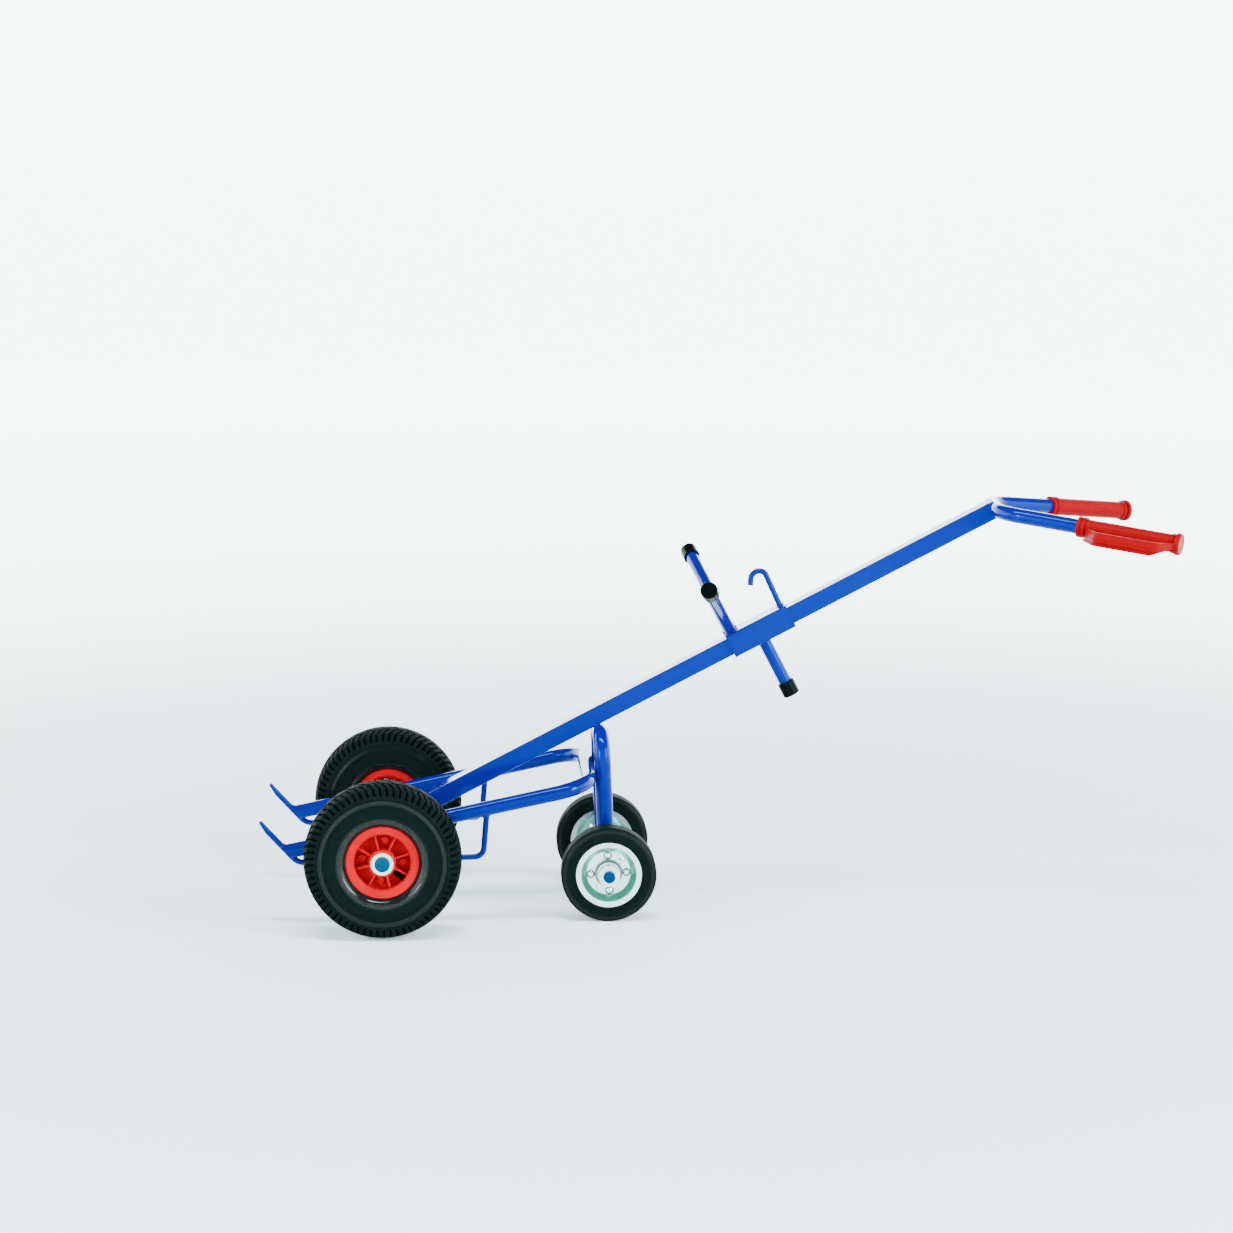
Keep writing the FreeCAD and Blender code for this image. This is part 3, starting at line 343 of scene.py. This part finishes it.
def blue_enamel():
    """Glossy blue stove enamel with a faint orange peel."""
    settings = bpy.context.scene.trolley_enamel
    cloud_size, smear_size, peel_size = 90 * MM, 12 * MM, 3.5 * MM
    thin_share = 0.86
    smear = 0.06
    finish = Finish("blue_enamel", settings.color, settings.roughness, ior=1.4,
                    specular_tint=opaque(settings.sheen))
    clouds = finish.ramp(finish.noise(cloud_size), low=0.35, high=0.65)
    finish.feed("Base Color", finish.mottle(clouds, settings.color, thin_share))
    finish.feed("Roughness", finish.uneven(settings.roughness, smear, smear_size))
    finish.bump(peel_size, settings.peel)
    return finish


def moulded(name, color, roughness, sheen=(0.3, 0.6, 0.55)):
    """Moulded plastic with tinted reflections, a fine grain and a slight flow shading."""
    flow_size, smear_size, grain_size = 30 * MM, 8 * MM, 0.9 * MM
    flow_detail, flow_share = 4.0, 0.9
    smear = 0.16
    grain_depth = 0.05 * MM
    finish = Finish(name, color, roughness, ior=1.12, specular_tint=opaque(sheen))
    flow = finish.ramp(finish.noise(flow_size, flow_detail), low=0.3, high=0.7)
    finish.feed("Base Color", finish.mottle(flow, color, flow_share))
    finish.feed("Roughness", finish.uneven(roughness, smear, smear_size))
    finish.bump(grain_size, grain_depth)
    return finish


def ring_mask(finish, distance, radius, width):
    """One on a ring of the given width outside a radius, with soft edges, and nothing elsewhere."""
    soft = width / 3
    inside = finish.ramp(distance, radius - soft, radius)
    return inside * (1.0 - finish.ramp(distance, radius + width - soft, radius + width))


def rubber(name, color, roughness, centre, tread, bands):
    """Black rubber with polished bands on its sidewalls and a duller tread outside a radius."""
    soft_edge = 4 * MM
    dust_size, grain_size, grain_depth = 20 * MM, 0.6 * MM, 0.01 * MM
    dust_detail, dust_tone, dust_dulling = 5.0, 0.0015, 0.1
    tread_dulling = 0.3
    finish = Finish(name, color, roughness, ior=1.04, specular_tint=opaque((0.5, 1.0, 0.92)),
                    coat_roughness=0.14, coat_ior=1.45)
    distance = finish.axle_distance(centre)
    worn = finish.ramp(distance, tread - soft_edge, tread + soft_edge)
    finish.feed("Coat Weight", sum(share * ring_mask(finish, distance, radius, width)
                                   for radius, width, share in bands))
    dust = finish.ramp(finish.noise(dust_size, dust_detail), low=0.5, high=0.8)
    dusty = opaque([channel + dust_tone for channel in color])
    finish.feed("Base Color", finish.blend(dust * worn, opaque(color), dusty))
    finish.feed("Roughness", roughness + tread_dulling * worn + dust_dulling * dust)
    finish.bump(grain_size, grain_depth)
    return finish


def plated(name, color, roughness):
    """Plated steel with a faint crystal pattern."""
    crystal_size, smear_size = 4 * MM, 10 * MM
    dim_share = 0.94
    crystal_dulling, smear = 0.06, 0.05
    finish = Finish(name, color, roughness, metallic=1.0)
    crystal = finish.cells(crystal_size)
    finish.feed("Base Color", finish.mottle(crystal, color, dim_share))
    dulling = crystal_dulling * crystal + smear * finish.noise(smear_size)
    finish.feed("Roughness", roughness + dulling)
    return finish


def rivet_middles(node):
    """Middles of four rivets, one in each quarter round the axle."""
    centre = middle(node)
    quarter_turn = math.pi / 2
    quarters = {}
    for vertex in NODES[node].data.vertices:
        offset = vertex.co - centre
        quarter = round(math.atan2(offset.z, offset.x) / quarter_turn) % 4
        quarters.setdefault(quarter, []).append(vertex.co)
    return [sum(places, Vector()) / len(places) for places in quarters.values()]


def pressed_zinc(name, centre, flat, lip, rivets, head, collar):
    """Zinc on the discs, with painted shade: a darker green painted on the sloped ring in place of
    its shade and dark reflections, and dark rings painted round the rivet heads and the collar
    foot.
    """
    settings = bpy.context.scene.trolley_metal
    crystal_size, smear_size = 6 * MM, 12 * MM
    dim_share = 0.95
    # Strengths, gaps and widths of the painted shade rings round the collar foot and the rivet
    # heads.
    collar_shade, collar_gap, collar_width = 0.75, 2 * MM, 4.5 * MM
    rivet_shade, rivet_overlap, rivet_width = 0.85, 0.4 * MM, 2.2 * MM
    polish, smear, slope_dulling = 0.18, 0.05, 0.08
    finish = Finish(name, settings.zinc, polish, metallic=1.0)
    distance = finish.axle_distance(centre)
    slope = finish.ramp(distance, flat - MM, flat) * (1.0 - finish.ramp(distance, lip - MM, lip))
    crystal = finish.cells(crystal_size)
    bright = finish.mottle(crystal, settings.zinc, dim_share)
    # Painted shade: the sloped ring is coloured a darker green in place of its shade and dark
    # reflections.
    plating = finish.blend(slope, bright, opaque(settings.slope_shade))
    # Painted shade: dark rings round the collar foot and each rivet head stand in for the shade in
    # those crevices.
    crevice_shade = collar_shade * ring_mask(finish, distance, collar + collar_gap, collar_width)
    for rivet in rivets:
        ring = ring_mask(finish, finish.axle_distance(rivet), head - rivet_overlap, rivet_width)
        crevice_shade = crevice_shade + rivet_shade * ring
    finish.feed("Base Color", finish.blend(crevice_shade, plating, opaque(settings.crevice_shade)))
    dulling = smear * crystal + smear * finish.noise(smear_size) + slope_dulling * slope
    finish.feed("Roughness", polish + dulling)
    return finish


def coped_faces(mesh, surface):
    """Numbers of the faces of a mesh that lie against another surface."""
    cope_gap = 0.35 * MM
    facing = -0.7
    coped = set()
    for face in mesh.faces:
        normal = surface.find_nearest(face.calc_center_median())[1]
        seated = all(surface.find_nearest(vert.co)[3] < cope_gap for vert in face.verts)
        if seated and normal.dot(face.normal) < facing:
            coped.add(face.index)
    return coped


def seam_edges(tube, target):
    """Places, outward directions and neighbours along the edge where a coped end meets a node."""
    same_place = 0.01 * MM
    clear_reach = 14 * MM
    bore_reach = 60 * MM
    mesh = bmesh.new()
    mesh.from_mesh(NODES[tube].data)
    bmesh.ops.remove_doubles(mesh, verts=mesh.verts, dist=same_place)
    mesh.normal_update()
    mesh.verts.ensure_lookup_table()
    other = bmesh.new()
    other.from_mesh(NODES[target].data)
    surface = BVHTree.FromBMesh(other)
    own = BVHTree.FromBMesh(mesh)
    coped = coped_faces(mesh, surface)
    places = {}
    outward = {}
    links = {}
    for edge in mesh.edges:
        free = [face for face in edge.link_faces if face.index not in coped]
        if len(edge.link_faces) != 2 or len(free) != 1:
            continue
        for vert in edge.verts:
            places[vert.index] = vert.co.copy()
            normal = surface.find_nearest(vert.co)[1] + free[0].normal
            outward[vert.index] = outward.get(vert.index, Vector()) + normal
            links.setdefault(vert.index, []).append(edge.other_vert(vert).index)
    kept = set()
    for index, direction in outward.items():
        direction.normalize()
        start = places[index] + direction * MM
        inside = own.ray_cast(start, direction, bore_reach)[0]
        covered = surface.ray_cast(start, direction, clear_reach)[0]
        if inside is None and covered is None:
            kept.add(index)
    mesh.free()
    other.free()
    return places, outward, links, kept


def seam_runs(tube, target):
    """Runs of (place, outward) along the visible seam between two nodes, each open or closed."""
    places, outward, links, unused = seam_edges(tube, target)
    runs = []
    while unused:
        ends = [index for index in unused if sum(mate in unused for mate in links[index]) < 2]
        index = min(ends or unused)
        run = []
        while index is not None:
            unused.discard(index)
            run.append((places[index], outward[index]))
            index = next((mate for mate in links[index] if mate in unused), None)
        runs.append((run, not ends and len(run) > 2))
    return runs


def resampled(run, closed, step):
    """Places and outward directions at even steps along a run."""
    samples = []
    stops = run + run[:1] if closed else run
    for (start, out_a), (end, out_b) in zip(stops, stops[1:]):
        count = max(1, round((end - start).length / step))
        for index in range(count):
            share = index / count
            samples.append((start.lerp(end, share), out_a.lerp(out_b, share)))
    if not closed:
        samples.append(run[-1])
    return samples


def weld_bead(run, closed, settings):
    """Rows of vertices round one rippled bead."""
    ripple_steps = 4
    end_share, taper_step, flatness = 0.35, 0.2, 0.75
    samples = resampled(run, closed, settings.pitch / ripple_steps)
    last = len(samples) - 1
    rows = []
    for index, (place, outward) in enumerate(samples):
        before = samples[index - 1] if closed or index > 0 else samples[0]
        after = samples[(index + 1) % len(samples)] if closed or index < last else samples[last]
        ahead = after[0] - before[0]
        side = ahead.cross(outward).normalized()
        up = side.cross(ahead).normalized()
        taper = 1.0 if closed else min(1.0, end_share + taper_step * min(index, last - index))
        swelling = 1 + settings.ripple * math.cos(math.tau * index / ripple_steps)
        radius = settings.bead * taper * swelling
        row = []
        for corner in range(settings.sides):
            angle = math.tau * corner / settings.sides
            rise = up * radius * flatness * math.sin(angle)
            row.append(place + side * radius * math.cos(angle) + rise)
        rows.append(row)
    return rows


def weld(name, joints, finish, body):
    """One piece with all the seams of a body."""
    settings = bpy.context.scene.trolley_weld
    shortest = 3 * settings.bead
    vertices = []
    faces = []
    for tube, target in joints:
        for run, closed in seam_runs(tube, target):
            if sum((b[0] - a[0]).length for a, b in zip(run, run[1:])) < shortest:
                continue
            rows = weld_bead(run, closed, settings)
            faces += loop_faces(len(rows), settings.sides, len(vertices), closed)
            vertices += [vertex for row in rows for vertex in row]
    if not vertices:
        raise RuntimeError("no seam found for " + name)
    mesh_piece(name, vertices, faces, finish, body)


def ring_section(surface, centre, radius, side, tyre):
    """Reach and offset of each corner of a ring that stands on one sidewall of a tyre."""
    height = bpy.context.scene.trolley_rubber.ring
    section = []
    for along, rise in RING_SECTION:
        reach = radius + along * RING_WIDTH
        start = centre + Vector((reach, side, 0.0))
        hit = surface.ray_cast(start, Vector((0.0, -side, 0.0)))[0]
        if hit is None:
            raise RuntimeError("no sidewall under a ring of " + tyre)
        section.append((reach, hit.y + side * rise * height))
    return section


def moulded_rings(name, tyre, radii, finish, body):
    """Fine rings that stand on both sidewalls of a tyre at the given radii."""
    steps = 144
    shape = bmesh.new()
    shape.from_mesh(NODES[tyre].data)
    surface = BVHTree.FromBMesh(shape)
    centre = middle(tyre)
    vertices = []
    faces = []
    for side in (-1.0, 1.0):
        for radius in radii:
            section = ring_section(surface, centre, radius, side, tyre)
            first = len(vertices)
            for step in range(steps):
                angle = math.tau * step / steps
                for reach, offset in section:
                    vertices.append((centre.x + reach * math.cos(angle), offset,
                                     centre.z + reach * math.sin(angle)))
            faces += loop_faces(steps, len(section), first, True)
    shape.free()
    mesh_piece(name, vertices, faces, finish, body)


class TROLLEY_OT_frame(bpy.types.Operator):
    """Paint the welded frame and lay its weld seams"""
    bl_idname = "trolley.frame"
    bl_label = "Welded frame"

    def execute(self, context):
        enamel = blue_enamel()
        dress(enamel, "spine_tube", "axle_tube", "support_axle_tube", "strut_bow", "leg_bow",
              "handle_bow", *sided("toe_rod"))
        joints = [("spine_tube", "axle_tube"), ("spine_tube", "handle_bow"),
                  ("leg_bow", "spine_tube"), ("leg_bow", "support_axle_tube"),
                  ("strut_bow", "axle_tube"), ("strut_bow", "leg_bow")]
        for toe in sided("toe_rod"):
            joints += [(toe, "axle_tube"), (toe, "strut_bow"), ("strut_bow", toe)]
        weld("frame_welds", joints, enamel, "frame")
        return {"FINISHED"}


class TROLLEY_OT_carriage(bpy.types.Operator):
    """Paint the hook carriage, lay its weld seams and finish its end caps"""
    bl_idname = "trolley.carriage"
    bl_label = "Hook carriage"

    def execute(self, context):
        enamel = blue_enamel()
        arms = sided("cradle_arm")
        dress(enamel, "hook_sleeve", "hook_rod", "slide_lever", *arms)
        joints = [("hook_rod", "hook_sleeve"), ("slide_lever", "hook_sleeve"), tuple(arms)]
        joints += [(arm, "hook_sleeve") for arm in arms]
        weld("carriage_welds", joints, enamel, "hook_carriage")
        caps = moulded("black_cap_plastic", context.scene.trolley_plastic.cap, roughness=0.16)
        dress(caps, "lever_cap", *sided("arm_cap"))
        return {"FINISHED"}


class TROLLEY_OT_grips(bpy.types.Operator):
    """Finish the red safety grips"""
    bl_idname = "trolley.grips"
    bl_label = "Safety grips"

    def execute(self, context):
        settings = context.scene.trolley_plastic
        red = moulded("red_grip_plastic", settings.grip, roughness=0.36, sheen=settings.sheen)
        dress(red, *sided("grip"))
        return {"FINISHED"}


class TROLLEY_OT_main_wheels(bpy.types.Operator):
    """Finish the air-filled main wheels and mould their sidewall rings"""
    bl_idname = "trolley.main_wheels"
    bl_label = "Main wheels"

    def execute(self, context):
        settings = context.scene.trolley_rubber
        centre = middle("main_tyre_left")
        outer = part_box("main_tyre_left")[1][2] - centre.z
        tread = outer - 22 * MM
        rim_shine = (outer - 72 * MM, 20 * MM, 0.6)
        shoulder_shine = (outer - 30 * MM, 6 * MM, 0.35)
        ring_drops = (34.0, 37.0, 58.0, 61.0)
        tyre = rubber("tyre_rubber", settings.tyre, settings.roughness, centre, tread,
                      (rim_shine, shoulder_shine))
        dress(tyre, *sided("main_tyre", "main_inner_tube", "main_valve"))
        plastic = context.scene.trolley_plastic
        red = moulded("red_rim_plastic", plastic.rim, roughness=0.3, sheen=plastic.sheen)
        dress(red, *sided("main_rim_outer", "main_rim_inner"))
        zinc = plated("screw_zinc", context.scene.trolley_metal.zinc, roughness=0.24)
        dress(zinc, *sided("main_rim_screws"))
        radii = [outer - drop * MM for drop in ring_drops]
        for side in SIDES:
            moulded_rings("main_tyre_rings_" + side, "main_tyre_" + side, radii, tyre,
                          "main_wheel_" + side)
        return {"FINISHED"}


class TROLLEY_OT_support_wheels(bpy.types.Operator):
    """Finish the solid-tyred support wheels and mould their sidewall rings"""
    bl_idname = "trolley.support_wheels"
    bl_label = "Support wheels"

    def execute(self, context):
        settings = context.scene.trolley_rubber
        centre = middle("support_tyre_left")
        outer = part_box("support_tyre_left")[1][2] - centre.z
        tread = outer - 2 * MM
        shoulder_shine = (outer - 8 * MM, 6 * MM, 0.2)
        ring_drops = (9.0, 20.0)
        tyre = rubber("solid_tyre_rubber", settings.tyre, settings.roughness, centre, tread,
                      (shoulder_shine,))
        dress(tyre, *sided("support_tyre"))
        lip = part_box("support_disc_outer_left")[1][2] - centre.z
        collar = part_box("support_hub_left")[1][2] - centre.z
        slope_foot, slope_top = lip - 17.5 * MM, lip - 8 * MM
        radii = [outer - drop * MM for drop in ring_drops]
        for side in SIDES:
            rivets = rivet_middles("support_rivets_" + side)
            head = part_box("support_rivets_" + side)[1][2] - max(rivet.z for rivet in rivets)
            zinc = pressed_zinc("pressed_zinc_" + side, centre, slope_foot, slope_top, rivets,
                                head, collar)
            for stem in ("disc_outer", "disc_inner", "rivets", "hub"):
                dress(zinc, "support_" + stem + "_" + side)
            moulded_rings("support_tyre_rings_" + side, "support_tyre_" + side, radii, tyre,
                          "support_wheel_" + side)
        return {"FINISHED"}


class TROLLEY_OT_axles(bpy.types.Operator):
    """Finish axles, bearings, washers and axle caps"""
    bl_idname = "trolley.axles"
    bl_label = "Axles and bearings"

    def execute(self, context):
        metal = context.scene.trolley_metal
        plastic = context.scene.trolley_plastic
        dress(plated("axle_steel", metal.steel, roughness=0.3), "main_axle", "support_axle",
              *sided("main_bearing_rollers", "support_bearing_rollers"))
        dress(plated("washer_zinc", metal.zinc, roughness=0.2),
              "main_axle_washers", "support_axle_washers")
        dress(moulded("main_cap_lacquer", metal.main_cap, roughness=0.3), "main_axle_caps")
        dress(moulded("support_cap_lacquer", metal.support_cap, roughness=0.3),
              "support_axle_caps")
        dress(moulded("cage_nylon", plastic.cage, roughness=0.45),
              *sided("main_bearing_cage", "support_bearing_cage"))
        return {"FINISHED"}


def area_light(name, place, size, power):
    """Rectangular soft light that faces the trolley."""
    data = bpy.data.lights.new(name, "AREA")
    data.shape = "RECTANGLE"
    data.size, data.size_y = size
    data.energy = power
    light = bpy.data.objects.new(name, data)
    light.location = place
    light.visible_camera = False
    light.rotation_euler = (Vector(LIGHT_AIM) - Vector(place)).to_track_quat("-Z", "Y").to_euler()
    bpy.context.scene.collection.objects.link(light)


def backdrop(finish):
    """Round floor that sweeps up into a wall on all sides."""
    radius, bend, wall = 9.0, 2.5, 7.0
    steps, arc_steps = 96, 16
    profile = [(radius, 0.0)]
    for index in range(1, arc_steps + 1):
        angle = math.pi / 2 * index / arc_steps
        profile.append((radius + bend * math.sin(angle), bend * (1 - math.cos(angle))))
    profile.append((radius + bend, wall))
    vertices = []
    for reach, level in profile:
        for step in range(steps):
            angle = math.tau * step / steps
            vertices.append((reach * math.cos(angle), reach * math.sin(angle), level))
    floor = tuple(range(steps))
    sweep = loop_faces(len(profile), steps, 0, False)[:-2]
    faces = [floor] + [face[::-1] for face in sweep]
    mesh_object("backdrop", vertices, faces, finish)


def backdrop_paper(settings):
    """Pale paper that glows behind the trolley and less round it and in front of it."""
    white = (0.97, 1.0, 1.0)
    glow_start, glow_full = 0.8, 5.0
    front_full, front_start = -7.0, -1.0
    paper = Finish("backdrop_paper", settings.floor, roughness=0.8, specular_ior_level=0.1,
                   emission_strength=settings.glow)
    depth = paper.node("ShaderNodeSeparateXYZ", None, {0: paper.place()}, "Y")
    distance = paper.vector("LENGTH", paper.place(), output="Value")
    away = paper.ramp(distance, glow_start, glow_full)
    behind = paper.blend(away, opaque(white, settings.near), opaque(white))
    rear = paper.ramp(depth, front_full, front_start)
    paper.feed("Emission Color", paper.blend(rear, opaque(white, settings.front), behind))
    return paper


def studio_world(settings):
    """Even light from all round."""
    world = bpy.data.worlds.new("studio_light")
    world.use_nodes = True
    sky = world.node_tree.nodes["Background"]
    sky.inputs["Color"].default_value = (0.94, 1.0, 1.0, 1.0)
    sky.inputs["Strength"].default_value = settings.sky
    bpy.context.scene.world = world


def studio_camera(settings):
    """Camera at the photograph's viewing angle."""
    yaw, pitch, roll = settings.yaw, settings.pitch, settings.roll
    ahead = math.cos(pitch)
    forward = Vector((math.sin(yaw) * ahead, math.cos(yaw) * ahead, math.sin(pitch)))
    level = Vector((math.cos(yaw), -math.sin(yaw), 0.0))
    right = level * math.cos(roll) + level.cross(forward) * math.sin(roll)
    turn = Matrix((right, right.cross(forward), -forward)).transposed().to_4x4()
    data = bpy.data.cameras.new("studio_camera")
    data.sensor_width = 36.0
    data.lens = settings.lens
    camera = bpy.data.objects.new("studio_camera", data)
    camera.matrix_world = Matrix.Translation(settings.camera) @ turn
    bpy.context.scene.collection.objects.link(camera)
    bpy.context.scene.camera = camera


class TROLLEY_OT_studio(bpy.types.Operator):
    """Set up floor, lights and camera"""
    bl_idname = "trolley.studio"
    bl_label = "Studio"

    def execute(self, context):
        settings = context.scene.trolley_studio
        backdrop(backdrop_paper(settings))
        studio_world(settings)
        for name, (place, size) in SOFTBOXES.items():
            area_light(name + "_softbox", place, size, getattr(settings, name))
        studio_camera(settings)
        return {"FINISHED"}


OPERATORS = (TROLLEY_OT_frame, TROLLEY_OT_carriage, TROLLEY_OT_grips, TROLLEY_OT_main_wheels,
             TROLLEY_OT_support_wheels, TROLLEY_OT_axles, TROLLEY_OT_studio)
SETTINGS = {"trolley_enamel": EnamelSettings, "trolley_plastic": PlasticSettings,
            "trolley_rubber": RubberSettings, "trolley_metal": MetalSettings,
            "trolley_weld": WeldSettings, "trolley_studio": StudioSettings}


class TROLLEY_PT_sidebar(bpy.types.Panel):
    """Steps and settings of the drum trolley"""
    bl_label = "Drum Trolley"
    bl_space_type = "VIEW_3D"
    bl_region_type = "UI"
    bl_category = "Trolley"

    def draw(self, context):
        for operator in OPERATORS:
            self.layout.operator(operator.bl_idname)
        for name in SETTINGS:
            group = getattr(context.scene, name)
            for item in group.bl_rna.properties:
                if item.identifier not in ("rna_type", "name"):
                    self.layout.prop(group, item.identifier)


def register():
    """Add the settings, operators and sidebar panel."""
    for name, group in SETTINGS.items():
        bpy.utils.register_class(group)
        setattr(bpy.types.Scene, name, PointerProperty(type=group))
    for kind in (*OPERATORS, TROLLEY_PT_sidebar):
        bpy.utils.register_class(kind)


def unregister():
    """Remove what register added."""
    for kind in (TROLLEY_PT_sidebar, *reversed(OPERATORS)):
        bpy.utils.unregister_class(kind)
    for name, group in SETTINGS.items():
        delattr(bpy.types.Scene, name)
        bpy.utils.unregister_class(group)


def main():
    """Run every step in order."""
    register()
    bpy.ops.trolley.frame()
    bpy.ops.trolley.carriage()
    bpy.ops.trolley.grips()
    bpy.ops.trolley.main_wheels()
    bpy.ops.trolley.support_wheels()
    bpy.ops.trolley.axles()
    bpy.ops.trolley.studio()


if __name__ == "__main__":
    main()
